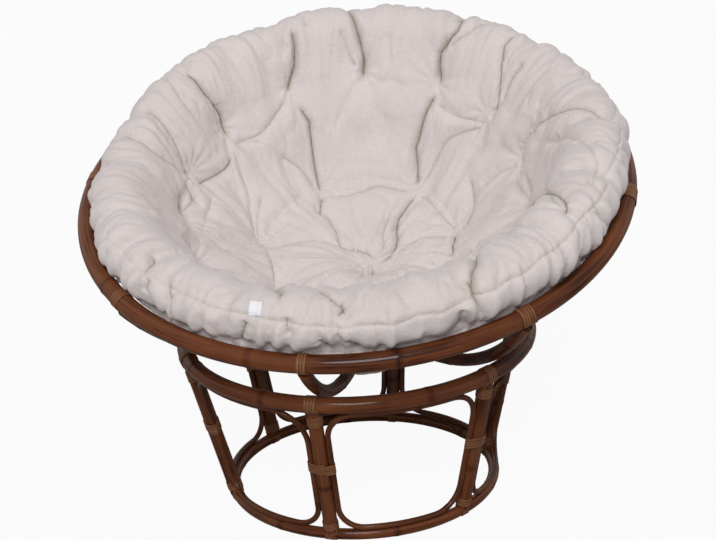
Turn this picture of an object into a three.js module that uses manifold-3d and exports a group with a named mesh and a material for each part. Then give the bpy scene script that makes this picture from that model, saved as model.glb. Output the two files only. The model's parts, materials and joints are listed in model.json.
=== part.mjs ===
// Papasan chair: a round rattan bowl that rests on a ring base, with a deep tufted cushion.
// Millimetres, +Z up, the front of the chair towards -Y.
import * as THREE from 'three';
import { mergeVertices } from 'three/addons/utils/BufferGeometryUtils.js';
import Module from 'manifold-3d';

const wasm = await Module();
wasm.setup();

// Driving dimensions: poles, each named by its own radius
const rimPoleRadius = 18;
const ribPoleRadius = 12.4;
const topPoleRadius = 16;
const bottomPoleRadius = 11;
const postPoleRadius = 14;
const caneRadius = 5.5;

// Driving dimensions: base
const topRingRadius = 339;
const topRingHeight = 318;
const bottomRingRadius = 263;
const postCount = 6;
const baseTurn = THREE.MathUtils.degToRad(-5.3);
const loopTopCorner = 62;
const loopBottomCorner = 50;
const loopJoinGap = 0.6;

// Driving dimensions: bowl. Its depth is from the rim's middle line to the bottom of the sphere on which
// that line lies, and the ribs' middle lines lie a little outside that sphere.
const rimOuterRadius = 550;
const bowlDepth = 314.7;
const ribSetOut = 11;
const bowlRingRadius = 135;
const ribCount = 8;
const bowlTilt = THREE.MathUtils.degToRad(16.5);
const bowlTurn = THREE.MathUtils.degToRad(-2.7);

// Driving dimensions: bindings of rattan peel
const peelThickness = 1.2;
const peelWidth = 7;
const peelPitch = 7.8;
const rimTurns = 3;
const headRingTurns = 3;
const headPostTurns = 1.5;
const footRingTurns = 2;
const footPostTurns = 1;
const midTurns = 3;
const midBandRise = 10;
const wornDepth = 0.5;

// Driving dimensions: cushion and its tag
const cushionThickness = 140;
const cushionRestAngle = THREE.MathUtils.degToRad(28);
const crownHeights = [100, 120, 146, 119, 128, 131, 75, 90];
const rollLeanRight = 20;
const rollLeanBack = 10;
const edgeOverlap = 15;
const outerTuftInset = 168;
const tuftRowSpacing = 144;
const tuftShiftBack = 36;
const tuftTurn = THREE.MathUtils.degToRad(7);
const innerTuftCount = 8;
const outerTuftCount = 16;
const tuftWidth = 44;
const tuftDepth = 34;
const pleatDepth = 8;
const tagWidth = 26;
const tagLength = 26;
const tagThickness = 1.2;
const tagAngle = THREE.MathUtils.degToRad(-13.6);

// Clearances between pieces that touch on the real chair
const jointClearance = 0.3;
const cushionClearance = 0.6;
const weldTolerance = 0.001;

// A binding lies on its pole, and a pole that meets a bound pole is coped to the binding
const bindingLayer = jointClearance + peelThickness;
const copeClearance = bindingLayer + jointClearance;

// Sizes that follow from the driving dimensions
const rimRadius = rimOuterRadius - rimPoleRadius;
const rimArcRadius = (rimRadius ** 2 + bowlDepth ** 2) / (2 * bowlDepth);
const ribArcRadius = rimArcRadius + ribSetOut;
const rimDrop = rimArcRadius - bowlDepth;
const seatReach = ribArcRadius + ribPoleRadius + copeClearance + topPoleRadius;
const bowlCentreHeight = topRingHeight + Math.sqrt(seatReach ** 2 - topRingRadius ** 2);

// Facets
const ringSides = 10;
const ribSides = 8;
const postSides = 8;
const caneSides = 6;
const topRingSteps = 8 * postCount;
const bottomRingSteps = 7 * postCount;
const rimSteps = 7 * ribCount;
const bowlRingSteps = 3 * ribCount;
const ribSteps = 14;
const sideSteps = 1;
const cornerSteps = 5;
const endSteps = 6;
const cushionSteps = 3 * outerTuftCount;
const restRows = 3;
const backRows = 3;

const rattan = new THREE.MeshStandardMaterial({ color: 0x6b3f26, roughness: 0.38, metalness: 0 });
const cane = new THREE.MeshStandardMaterial({ color: 0x5c3520, roughness: 0.42, metalness: 0 });
const peel = new THREE.MeshStandardMaterial({ color: 0x7f5532, roughness: 0.55, metalness: 0 });
const cotton = new THREE.MeshStandardMaterial({ color: 0xd6ccc4, roughness: 0.9, metalness: 0 });
const tape = new THREE.MeshStandardMaterial({ color: 0xf2f1f4, roughness: 0.8, metalness: 0 });

// A closed solid from a geometry, with its shared vertices merged
function solid(geometry) {
  geometry.deleteAttribute('normal');
  geometry.deleteAttribute('uv');
  const merged = mergeVertices(geometry, weldTolerance);
  const vertProperties = Float32Array.from(merged.attributes.position.array);
  const triVerts = Uint32Array.from(merged.index.array);
  return new wasm.Manifold(new wasm.Mesh({ numProp: 3, vertProperties, triVerts }));
}

function geometryOf(body) {
  const mesh = body.getMesh();
  const geometry = new THREE.BufferGeometry();
  geometry.setAttribute('position', new THREE.BufferAttribute(Float32Array.from(mesh.vertProperties), 3));
  geometry.setIndex(new THREE.BufferAttribute(Uint32Array.from(mesh.triVerts), 1));
  return geometry;
}

// A pole's cross-section: a polygon with a corner on its first axis
function roundSection(radius, sides) {
  const points = [];
  for (let i = 0; i < sides; i += 1) {
    const angle = (2 * Math.PI * i) / sides;
    points.push(new THREE.Vector2(radius * Math.cos(angle), radius * Math.sin(angle)));
  }
  return new THREE.Shape(points);
}

function bentPole(curve, radius, sides, steps) {
  return new THREE.ExtrudeGeometry(roundSection(radius, sides), {
    steps,
    extrudePath: curve,
    bevelEnabled: false,
  });
}

// A pole bent into a level hoop about the Z axis. Its straight stretches touch its true circle at their
// middles, one of them at the front. A corner of its section points outwards, lean below the level.
function hoop(radius, poleRadius, sides, steps, lean, height) {
  const profile = [];
  for (let i = 0; i <= sides; i += 1) {
    const angle = (2 * Math.PI * (i % sides)) / sides - lean;
    const across = (radius + poleRadius * Math.cos(angle)) / Math.cos(Math.PI / steps);
    profile.push(new THREE.Vector2(across, poleRadius * Math.sin(angle)));
  }
  const geometry = new THREE.LatheGeometry(profile, steps);
  geometry.rotateX(Math.PI / 2);
  geometry.rotateZ(Math.PI / steps);
  geometry.translate(0, 0, height);
  return geometry;
}

// The chair stands on the bindings at the posts' feet, worn flat where they bear on the floor. The bottom
// ring has a flat side down.
const bottomRingHeight = (bottomPoleRadius + bindingLayer) * Math.cos(Math.PI / ringSides) - wornDepth;

// The posts lean outwards from the bottom ring to the top ring, on one cone
const postRun = topRingRadius - bottomRingRadius;
const postRise = topRingHeight - bottomRingHeight;
const postLength = Math.hypot(postRun, postRise);
const postLean = Math.atan2(postRun, postRise);

function topRing(growth) {
  return hoop(topRingRadius, topPoleRadius + growth, ringSides, topRingSteps, postLean, topRingHeight);
}

function bottomRing(growth) {
  return hoop(bottomRingRadius, bottomPoleRadius + growth, ringSides, bottomRingSteps, 0, bottomRingHeight);
}

// A place on that cone: slant from the bottom ring, and an angle from the front
function onCone(slant, angle) {
  const radius = bottomRingRadius + slant * Math.sin(postLean);
  const height = bottomRingHeight + slant * Math.cos(postLean);
  return new THREE.Vector3(radius * Math.sin(angle), -radius * Math.cos(angle), height);
}

// Puts a geometry drawn about the Z axis on the front post's line, at a slant from the bottom ring
function alongPost(geometry, slant) {
  geometry.rotateX(postLean);
  const place = onCone(slant, 0);
  geometry.translate(place.x, place.y, place.z);
  return geometry;
}

// A post has a flat side outwards, and is coped to both rings, which it meets end on. It is thicker than
// the bottom ring, so its foot is cut off square above that ring's middle.
function post() {
  const foot = bottomPoleRadius / 2;
  const geometry = new THREE.CylinderGeometry(postPoleRadius, postPoleRadius, postLength - foot, postSides);
  geometry.rotateX(Math.PI / 2);
  geometry.rotateZ(Math.PI / postSides);
  const pole = solid(alongPost(geometry, (postLength + foot) / 2));
  return pole.subtract(solid(topRing(copeClearance))).subtract(solid(bottomRing(copeClearance)));
}

// The course of a flat strip over a pole's corners: each fold has its place, the way out of the pole,
// and the way across the strip, which is along the corner
class StripCourse extends THREE.Curve {
  constructor(folds) {
    super();
    this.folds = folds;
  }

  getUtoTmapping(u) {
    return u;
  }

  getPoint(t, target = new THREE.Vector3()) {
    return target.copy(this.folds[Math.round(t * (this.folds.length - 1))].place);
  }

  computeFrenetFrames() {
    const normals = this.folds.map((fold) => fold.outwards);
    const binormals = this.folds.map((fold) => fold.across);
    const tangents = this.folds.map((fold) => fold.outwards.clone().cross(fold.across));
    return { tangents, normals, binormals };
  }
}

// The least gap between a wound strip's turns, measured between points along its two edges
const edgeSamples = 6;

function leastGap(folds, stepsApart) {
  const edges = [-1, 1].map((side) =>
    folds.map(({ place, across }) => place.clone().addScaledVector(across, (side * peelWidth) / 2)),
  );
  const samples = [];
  for (const edge of edges) {
    for (let i = 0; i + 1 < edge.length; i += 1) {
      for (let k = 0; k < edgeSamples; k += 1) {
        const share = k / edgeSamples;
        samples.push({ at: i + share, place: edge[i].clone().lerp(edge[i + 1], share) });
      }
    }
  }
  let least = Infinity;
  for (const a of samples) {
    for (const b of samples) {
      if (b.at - a.at > stepsApart) {
        least = Math.min(least, a.place.distanceTo(b.place));
      }
    }
  }
  return least;
}

function woundStrip(name, folds, foldsPerTurn) {
  const strip = new THREE.Shape();
  strip.moveTo(-peelThickness / 2, -peelWidth / 2);
  strip.lineTo(peelThickness / 2, -peelWidth / 2);
  strip.lineTo(peelThickness / 2, peelWidth / 2);
  strip.lineTo(-peelThickness / 2, peelWidth / 2);
  console.log(`${name}: least gap to itself ${leastGap(folds, foldsPerTurn / 2).toFixed(2)} mm`);
  return new THREE.ExtrudeGeometry(strip, {
    steps: folds.length - 1,
    extrudePath: new StripCourse(folds),
    bevelEnabled: false,
  });
}

// Folds of a strip wound round a bar along X. It folds at the bar's corners, one of which points along Y
// or is turned a little from it. It comes down the outer side, towards the stem below, and leaves the bar
// some corners before that side.
function barFolds(barRadius, turns, cornersBefore, turned = 0) {
  const folds = [];
  const count = turns * ringSides;
  const reach = barRadius + bindingLayer - peelThickness / 2;
  for (let i = 0; i <= count; i += 1) {
    const angle = ((count - i + cornersBefore) * 2 * Math.PI) / ringSides + turned;
    const outwards = new THREE.Vector3(0, Math.cos(angle), Math.sin(angle));
    const place = outwards.clone().multiplyScalar(reach);
    place.x = (i / count - 1 / 2) * turns * peelPitch;
    folds.push({ place, outwards, across: new THREE.Vector3(1, 0, 0) });
  }
  return folds;
}

// Folds of the same strip wound on, round the stem below the bar
function stemFolds(stemRadius, barRadius, turns) {
  const folds = [];
  const reach = stemRadius + bindingLayer - peelThickness / 2;
  const top = barRadius + bindingLayer + (peelPitch - peelWidth) + peelWidth / 2;
  for (let i = 0; i <= turns * postSides; i += 1) {
    const angle = ((i + 3 / 2) * 2 * Math.PI) / postSides;
    const outwards = new THREE.Vector3(Math.sin(angle), Math.cos(angle), 0);
    const place = outwards.clone().multiplyScalar(reach);
    place.z = -top - (i * peelPitch) / postSides;
    folds.push({ place, outwards, across: new THREE.Vector3(0, 0, 1) });
  }
  return folds;
}

// Turns a geometry drawn about a bar and its stem so that the bar lies on the front of a ring
function ontoRing(geometry, lean, radius, height) {
  geometry.rotateZ(Math.PI);
  geometry.rotateX(lean);
  geometry.translate(0, -radius, height);
  return geometry;
}

// One strip binds a post's head: turns round the top ring, then round the post
function headBinding() {
  const folds = [
    ...barFolds(topPoleRadius, headRingTurns, -1),
    ...stemFolds(postPoleRadius, topPoleRadius, headPostTurns),
  ];
  const strip = woundStrip('post head binding', folds, postSides);
  return solid(ontoRing(strip, postLean, topRingRadius, topRingHeight));
}

// The same at a post's foot, upside down, and worn flat on the floor. The post is the thicker pole here,
// so the strip leaves the ring early and passes outside the post's lip.
function footBinding() {
  const ringFolds = barFolds(bottomPoleRadius, footRingTurns, 1, -postLean);
  const lipFold = {
    place: new THREE.Vector3(ringFolds.at(-1).place.x, postPoleRadius + bindingLayer, 0),
    outwards: new THREE.Vector3(0, 1, 0),
    across: new THREE.Vector3(1, 0, 0),
  };
  const folds = [...ringFolds, lipFold, ...stemFolds(postPoleRadius, bottomPoleRadius, footPostTurns)];
  const strip = woundStrip('post foot binding', folds, postSides);
  strip.rotateY(Math.PI);
  const floor = new THREE.BoxGeometry(4 * bottomRingHeight, 4 * bottomRingHeight, bottomRingHeight);
  floor.translate(0, -bottomRingRadius, -bottomRingHeight / 2);
  return solid(ontoRing(strip, postLean, bottomRingRadius, bottomRingHeight)).subtract(solid(floor));
}

// The loop of cane that lines a bay: its sides lie along the posts, its ends along the rings
const caneOffset = postPoleRadius + jointClearance + caneRadius;
const loopTop = postLength - topPoleRadius - jointClearance - caneRadius;
const loopBottom = bottomPoleRadius + jointClearance + caneRadius;
const bindingSlant = postLength / 2 + midBandRise;

function coneRadius(slant) {
  return bottomRingRadius + slant * Math.sin(postLean);
}

// Half the way across a bay, from its middle to the cane beside a post
function bayHalfWidth(slant) {
  const radius = coneRadius(slant);
  return radius * (Math.PI / postCount - Math.asin(caneOffset / radius));
}

// The cane's course, laid on the cone of the bay between the first two posts. Each run is drawn flat:
// across from the nearer post's cane, and a slant. The ends meet under the binding.
class BayCourse extends THREE.Curve {
  constructor() {
    super();
    const top = loopTop - loopTopCorner;
    const bottom = loopBottom + loopBottomCorner;
    this.runs = [
      this.sideRun(-1, bindingSlant + loopJoinGap / 2, top),
      this.cornerRun(-1, top, loopTopCorner, 0),
      this.endRun(-1, loopTop, loopTopCorner),
      this.cornerRun(1, top, loopTopCorner, 1),
      this.sideRun(1, top, bottom),
      this.cornerRun(1, bottom, -loopBottomCorner, 0),
      this.endRun(1, loopBottom, loopBottomCorner),
      this.cornerRun(-1, bottom, -loopBottomCorner, 1),
      this.sideRun(-1, bottom, bindingSlant - loopJoinGap / 2),
    ];
    this.steps = this.runs.reduce((sum, run) => sum + run.steps, 0);
  }

  sideRun(side, from, to) {
    return { steps: sideSteps, at: (share) => this.lay(side, 0, from + (to - from) * share) };
  }

  // A quarter turn between a side and an end: first says which of the two it starts from
  cornerRun(side, slant, radius, first) {
    return {
      steps: cornerSteps,
      at: (share) => {
        const turn = (Math.abs(first - share) * Math.PI) / 2;
        return this.lay(side, Math.abs(radius) * (1 - Math.cos(turn)), slant + radius * Math.sin(turn));
      },
    };
  }

  endRun(side, slant, corner) {
    const half = bayHalfWidth(slant) - corner;
    return { steps: endSteps, at: (share) => this.lay(side, corner + 2 * half * share, slant) };
  }

  lay(side, across, slant) {
    const width = side * (bayHalfWidth(slant) - across);
    return onCone(slant, Math.PI / postCount + width / coneRadius(slant));
  }

  getUtoTmapping(u) {
    return u;
  }

  getPoint(t, target = new THREE.Vector3()) {
    let left = t * this.steps;
    for (const run of this.runs) {
      if (left <= run.steps || run === this.runs.at(-1)) {
        return target.copy(run.at(left / run.steps));
      }
      left -= run.steps;
    }
    return target;
  }
}

function bayLoop() {
  const course = new BayCourse();
  return solid(bentPole(course, caneRadius, caneSides, course.steps));
}

// One strip winds round a post and the canes beside it, stretched from one to the next. The canes lie
// round the cone from the post, so they sink a little towards its axis.
function midOutline() {
  const radius = coneRadius(bindingSlant);
  const sink = (radius - Math.sqrt(radius ** 2 - caneOffset ** 2)) * Math.cos(postLean);
  const postReach = postPoleRadius + bindingLayer - peelThickness / 2;
  const caneReach = caneRadius + bindingLayer - peelThickness / 2;
  const half = [];
  for (const angle of [Math.PI / postSides, Math.PI - Math.PI / postSides]) {
    half.push(new THREE.Vector2(postReach * Math.sin(angle), postReach * Math.cos(angle)));
  }
  for (const angle of [Math.PI / 6, Math.PI / 2, (5 * Math.PI) / 6]) {
    const across = caneOffset + caneReach * Math.sin(angle);
    const corner = new THREE.Vector2(across, caneReach * Math.cos(angle) + sink);
    half.splice(half.length - 1, 0, corner);
  }
  const other = half.map((corner) => new THREE.Vector2(-corner.x, corner.y)).reverse();
  return [...half, ...other];
}

function midBinding() {
  const outline = midOutline();
  const folds = [];
  const count = midTurns * outline.length;
  for (let i = 0; i <= count; i += 1) {
    const corner = outline[i % outline.length];
    const next = outline[(i + 1) % outline.length];
    const previous = outline[(i + outline.length - 1) % outline.length];
    const along = next.clone().sub(corner).normalize().add(corner.clone().sub(previous).normalize());
    const outwards = new THREE.Vector3(-along.y, along.x, 0).normalize();
    const place = new THREE.Vector3(corner.x, corner.y, (i / count - 1 / 2) * midTurns * peelPitch);
    folds.push({ place, outwards, across: new THREE.Vector3(0, 0, 1) });
  }
  return solid(alongPost(woundStrip('post mid binding', folds, outline.length), bindingSlant));
}

// The bowl is drawn level, with the middle of its sphere at the origin and its rim below
function onSphere(radius, polar, angle) {
  const across = radius * Math.sin(polar);
  return new THREE.Vector3(across * Math.sin(angle), -across * Math.cos(angle), -radius * Math.cos(polar));
}

const rimPolar = Math.asin(rimRadius / rimArcRadius);
const bowlRingPolar = Math.asin(bowlRingRadius / ribArcRadius);
const rimLean = Math.PI / 2 - rimPolar;

function bowlRim(growth) {
  return hoop(rimRadius, rimPoleRadius + growth, ringSides, rimSteps, rimLean, -rimDrop);
}

function bowlRing(growth) {
  const height = -ribArcRadius * Math.cos(bowlRingPolar);
  const lean = Math.PI / 2 - bowlRingPolar;
  return hoop(bowlRingRadius, ribPoleRadius + growth, ribSides, bowlRingSteps, lean, height);
}

class RibArc extends THREE.Curve {
  getPoint(t, target = new THREE.Vector3()) {
    return target.copy(onSphere(ribArcRadius, bowlRingPolar + (rimPolar - bowlRingPolar) * t, 0));
  }
}

// A rib is coped to the bound rim above and to the bowl's bottom ring below
function rib() {
  const pole = solid(bentPole(new RibArc(), ribPoleRadius, ribSides, ribSteps));
  return pole.subtract(solid(bowlRim(copeClearance))).subtract(solid(bowlRing(jointClearance)));
}

// The binding round the rim at a rib's head
function rimBinding() {
  const strip = woundStrip('rim binding', barFolds(rimPoleRadius, rimTurns, 0), ringSides);
  return solid(ontoRing(strip, rimLean, rimRadius, -rimDrop));
}

// Cushion: a round pad pressed into the bowl, with a high rolled edge and sewn tufts
const cushionArcRadius = ribArcRadius - ribPoleRadius - cushionClearance;
const neckRadius = rimRadius - rimPoleRadius - bindingLayer - cushionClearance;
const edgeRadius = neckRadius + edgeOverlap;
const seatDepth = cushionArcRadius - rimDrop - cushionThickness;
const outerTuftRadius = neckRadius - outerTuftInset;
const innerTuftRadius = outerTuftRadius - tuftRowSpacing;
const meanCrown = crownHeights.reduce((sum, height) => sum + height, 0) / crownHeights.length;

// The roll's outline above the rim: shares of the edge radius, and of the crown's height
const rollShares = [
  [0.972, 0.13],
  [0.995, 0.32],
  [0.997, 0.6],
  [0.97, 0.85],
  [0.92, 0.98],
  [0.868, 0.96],
  [0.826, 0.74],
  [0.795, 0.36],
];

// The hollow of the seat: shares of the edge radius, and of the seat's depth below the rim
const seatShares = [
  [0.76, -0.02],
  [0.67, -0.28],
  [0.55, -0.58],
  [0.425, -0.8],
  [0.24, -0.96],
  [0, -1],
];

// The back rests on the ribs round the bowl's middle, and is stretched straight from there to the rim
function cushionProfile() {
  const profile = [];
  for (let i = 0; i <= restRows; i += 1) {
    const polar = (cushionRestAngle * i) / restRows;
    profile.push(new THREE.Vector2(cushionArcRadius * Math.sin(polar), -cushionArcRadius * Math.cos(polar)));
  }
  const resting = profile.at(-1);
  const neck = new THREE.Vector2(neckRadius, -rimDrop);
  for (let i = 1; i <= backRows; i += 1) {
    profile.push(resting.clone().lerp(neck, i / backRows));
  }
  for (const [across, up] of rollShares) {
    profile.push(new THREE.Vector2(edgeRadius * across, meanCrown * up - rimDrop));
  }
  for (const [across, up] of seatShares) {
    profile.push(new THREE.Vector2(edgeRadius * across, seatDepth * up - rimDrop));
  }
  return profile;
}

// The cushion lies a little to the back in the bowl, and its tufts with it
function tuftCircle(count, radius, phase) {
  const places = [];
  for (let i = 0; i < count; i += 1) {
    const angle = (2 * Math.PI * (i + phase)) / count + tuftTurn;
    places.push(new THREE.Vector2(radius * Math.sin(angle), tuftShiftBack - radius * Math.cos(angle)));
  }
  return places;
}

const tufts = [
  new THREE.Vector2(0, 0),
  ...tuftCircle(innerTuftCount, innerTuftRadius, 1 / 2),
  ...tuftCircle(outerTuftCount, outerTuftRadius, 0),
];

// How far the nearest tuft draws the cover in
function drawnIn(point) {
  const away = Math.min(...tufts.map((tuft) => Math.hypot(point.x - tuft.x, point.y - tuft.y)));
  return tuftDepth * Math.exp(-((away / tuftWidth) ** 2));
}

// The crown's height in a direction: an even blend between the nearest two of the measured heights
function crownAt(angle) {
  const count = crownHeights.length;
  const turn = ((angle / (2 * Math.PI) + 1) % 1) * count;
  const share = THREE.MathUtils.smoothstep(turn % 1, 0, 1);
  const first = Math.floor(turn) % count;
  return crownHeights[first] + (crownHeights[(first + 1) % count] - crownHeights[first]) * share;
}

// The cover is drawn towards the bowl at the tufts and pleated above them. Its roll is higher in some
// directions than in others, and leans over the rim at the right and the back.
function shapeCover(point) {
  const rise = Math.max(0, point.z + rimDrop) / meanCrown;
  const angle = Math.atan2(point.x, -point.y);
  if (Math.hypot(point.x, point.y) < neckRadius) {
    point.setLength(point.length() + drawnIn(point));
  }
  const pleat = (pleatDepth * rise ** 2 * (1 + Math.cos(outerTuftCount * angle))) / 2;
  point.x += rollLeanRight * rise;
  point.y += rollLeanBack * rise;
  point.z += (crownAt(angle) - meanCrown) * rise - pleat;
  return point;
}

function cushion() {
  const profile = cushionProfile();
  const geometry = new THREE.LatheGeometry(profile, cushionSteps);
  geometry.rotateX(Math.PI / 2);
  const position = geometry.attributes.position;
  const point = new THREE.Vector3();
  for (let i = 0; i < position.count; i += 1) {
    if (i % profile.length > restRows + backRows) {
      shapeCover(point.fromBufferAttribute(position, i));
      position.setXYZ(i, point.x, point.y, point.z);
    }
  }
  return solid(geometry);
}

// The blank cloth tag sewn to the outside of the cushion's roll, on the slope above one row of its outline
const tagRow = 3;

function careTag(cover) {
  const [across, up] = rollShares[tagRow];
  const [nextAcross, nextUp] = rollShares[tagRow + 1];
  const slope = Math.atan2(meanCrown * (nextUp - up), edgeRadius * (across - nextAcross));
  const radius = (edgeRadius * (across + nextAcross)) / 2;
  const height = (meanCrown * (up + nextUp)) / 2 - rimDrop;
  const onRoll = new THREE.Vector3(radius * Math.sin(tagAngle), -radius * Math.cos(tagAngle), height);
  const place = shapeCover(onRoll);
  const turn = new THREE.Euler(slope, 0, tagAngle, 'ZXY');
  const outwards = new THREE.Vector3(0, 0, jointClearance).applyEuler(turn);
  const geometry = new THREE.BoxGeometry(tagWidth, tagLength, 4 * tagThickness);
  geometry.applyMatrix4(new THREE.Matrix4().makeRotationFromEuler(turn));
  geometry.translate(place.x, place.y, place.z);
  return solid(geometry).subtract(cover.translate(outwards.toArray()));
}

const chair = new THREE.Group();
const base = new THREE.Group();
base.rotation.z = baseTurn;
const bowl = new THREE.Group();
bowl.position.z = bowlCentreHeight;
bowl.rotation.x = bowlTilt;
const bowlFrame = new THREE.Group();
bowlFrame.rotation.z = bowlTurn;
bowl.add(bowlFrame);
chair.add(base, bowl);

function addPiece(parent, name, body, material, turn = 0) {
  const mesh = new THREE.Mesh(geometryOf(body), material);
  mesh.name = name;
  mesh.rotation.z = turn;
  parent.add(mesh);
}

function addCopies(parent, name, body, material, count) {
  for (let i = 0; i < count; i += 1) {
    addPiece(parent, `${name}_${i + 1}`, body, material, (2 * Math.PI * i) / count);
  }
}

addPiece(base, 'base_top_ring', solid(topRing(0)), rattan);
addPiece(base, 'base_bottom_ring', solid(bottomRing(0)), rattan);
addCopies(base, 'post', post(), rattan, postCount);
addCopies(base, 'bay_loop', bayLoop(), cane, postCount);
addCopies(base, 'post_head_binding', headBinding(), peel, postCount);
addCopies(base, 'post_mid_binding', midBinding(), peel, postCount);
addCopies(base, 'post_foot_binding', footBinding(), peel, postCount);

addPiece(bowlFrame, 'bowl_rim', solid(bowlRim(0)), rattan);
addPiece(bowlFrame, 'bowl_bottom_ring', solid(bowlRing(0)), rattan);
addCopies(bowlFrame, 'bowl_rib', rib(), rattan, ribCount);
addCopies(bowlFrame, 'rim_binding', rimBinding(), peel, ribCount);

const cover = cushion();
addPiece(bowl, 'cushion', cover, cotton);
addPiece(bowl, 'care_tag', careTag(cover), tape);

// The origin is below the middle of the whole chair, on the floor
chair.updateMatrixWorld(true);
const extent = new THREE.Box3().setFromObject(chair, true);
const middle = extent.getCenter(new THREE.Vector3());
chair.position.set(-middle.x, -middle.y, -extent.min.z);
chair.updateMatrixWorld(true);

const tiltPivot = bowl.getWorldPosition(new THREE.Vector3());
console.log('bowl tilt pivot', tiltPivot.toArray());

export default chair;
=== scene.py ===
import json
import math
import random
from bisect import bisect_right

import bmesh
import bpy
import numpy as np
from mathutils import Matrix, Vector, noise
from mathutils.bvhtree import BVHTree


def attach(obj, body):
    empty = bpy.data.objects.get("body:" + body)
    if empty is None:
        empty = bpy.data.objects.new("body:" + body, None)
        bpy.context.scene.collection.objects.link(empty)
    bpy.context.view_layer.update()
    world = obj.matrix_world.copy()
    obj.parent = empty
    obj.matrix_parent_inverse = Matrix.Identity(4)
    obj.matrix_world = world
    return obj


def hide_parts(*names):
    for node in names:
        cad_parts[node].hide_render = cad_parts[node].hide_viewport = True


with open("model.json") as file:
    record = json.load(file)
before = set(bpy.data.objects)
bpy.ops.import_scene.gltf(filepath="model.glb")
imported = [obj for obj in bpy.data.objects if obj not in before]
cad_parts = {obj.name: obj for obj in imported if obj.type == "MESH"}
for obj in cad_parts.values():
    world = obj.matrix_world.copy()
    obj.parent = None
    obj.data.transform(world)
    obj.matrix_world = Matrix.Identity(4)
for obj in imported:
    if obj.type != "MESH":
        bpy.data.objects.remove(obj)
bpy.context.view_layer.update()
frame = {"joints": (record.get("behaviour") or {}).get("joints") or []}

# Where the chair's main parts sit. The bowl is a part of a sphere, which lies in the base's top ring, and
# the middle of that sphere stands above the middle of the base. The bowl's own axis leans to the front.
tilt_joint = next(joint for joint in frame["joints"] if joint["name"] == "bowl_tilt")
lift_joint = next(joint for joint in frame["joints"] if joint["name"] == "cushion_lift")
bowl_centre = Vector(tilt_joint["pos_m"])
base_foot = Vector((bowl_centre.x, bowl_centre.y, 0))
bowl_lean = math.atan2(-lift_joint["axis"][1], lift_joint["axis"][2])
base_turn = math.radians(-5.3)
bowl_turn = math.radians(-2.7)
to_base = Matrix.Translation(base_foot) @ Matrix.Rotation(base_turn, 4, "Z")
to_bowl = Matrix.Translation(bowl_centre) @ Matrix.Rotation(bowl_lean, 4, "X")

# Camera: a long lens above the chair's front right, held a little out of level and about four metres
# off, so that the picture frames the chair as the photograph does
camera_turn = math.radians(9.7)
camera_distance = 3.7409
camera_height = 1.8952
camera_yaw = 0.0027
camera_pitch = 0.3685
camera_roll = -0.0554
camera_lens = 103.04

camera = bpy.data.objects.new("camera", bpy.data.cameras.new("camera"))
camera.data.lens = camera_lens
camera.matrix_world = (
    Matrix.Translation(base_foot)
    @ Matrix.Rotation(camera_turn, 4, "Z")
    @ Matrix.Translation((0, -camera_distance, camera_height))
    @ Matrix.Rotation(-camera_yaw, 4, "Z")
    @ Matrix.Rotation(math.pi / 2 - camera_pitch, 4, "X")
    @ Matrix.Rotation(camera_roll, 4, "Z")
)
bpy.context.scene.collection.objects.link(camera)
bpy.context.scene.camera = camera
bpy.context.scene.view_settings.view_transform = "Standard"

# Light: one broad soft sun from above the viewer and an even white surrounding, at a level where a colour
# renders about as it is written. The floor is a wide pale sheet.
sun_strength = 2.2
sun_spread = math.radians(24)
sun_height = math.radians(42)
sun_turn = math.radians(4)
sky_strength = 0.42
floor_reach = 40
floor_sides = 64
floor_colour = (0.45, 0.45, 0.45)
backdrop_white = 0.94

sun = bpy.data.objects.new("sun", bpy.data.lights.new("sun", "SUN"))
sun.data.energy = sun_strength
sun.data.angle = sun_spread
sun.rotation_euler = (math.pi / 2 - sun_height, 0, sun_turn)
bpy.context.scene.collection.objects.link(sun)

world = bpy.data.worlds.new("surrounding")
world.use_nodes = True
bpy.context.scene.world = world
sky_nodes = world.node_tree.nodes
sky_links = world.node_tree.links
rays = sky_nodes.new("ShaderNodeLightPath")
seen = rays.outputs["Is Camera Ray"]
for kind in ("Is Transmission Ray", "Is Glossy Ray"):
    either = sky_nodes.new("ShaderNodeMath")
    either.operation = "MAXIMUM"
    sky_links.new(seen, either.inputs[0])
    sky_links.new(rays.outputs[kind], either.inputs[1])
    seen = either.outputs[0]
strength = sky_nodes.new("ShaderNodeMapRange")
strength.inputs["To Min"].default_value = sky_strength
strength.inputs["To Max"].default_value = 1
sky_links.new(seen, strength.inputs["Value"])
sky_links.new(strength.outputs[0], sky_nodes["Background"].inputs["Strength"])
sky_nodes["Background"].inputs["Color"].default_value = (1, 1, 1, 1)


# Finishes are built as node trees. A Wire is one socket of such a tree, and sums and products of wires
# become Math nodes.
class Wire:
    def __init__(self, finish, socket):
        self.finish = finish
        self.socket = socket

    def math(self, operation, first, second):
        return self.finish.node("Math", {"operation": operation}, {0: first, 1: second})

    def __add__(self, other):
        return self.math("ADD", self, other)

    __radd__ = __add__

    def __sub__(self, other):
        return self.math("SUBTRACT", self, other)

    def __rsub__(self, other):
        return self.math("SUBTRACT", other, self)

    def __mul__(self, other):
        return self.math("MULTIPLY", self, other)

    __rmul__ = __mul__

    def out(self, name):
        return Wire(self.finish, self.socket.node.outputs[name])

    def step(self, low, high):
        """0 below low, 1 above high and a smooth rise between, or the reverse where high is below low."""
        settings = {"interpolation_type": "SMOOTHSTEP"}
        sockets = {"Value": self, "From Min": min(low, high), "From Max": max(low, high)}
        if high < low:
            sockets.update({"To Min": 1, "To Max": 0})
        return self.finish.node("MapRange", settings, sockets)


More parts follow.
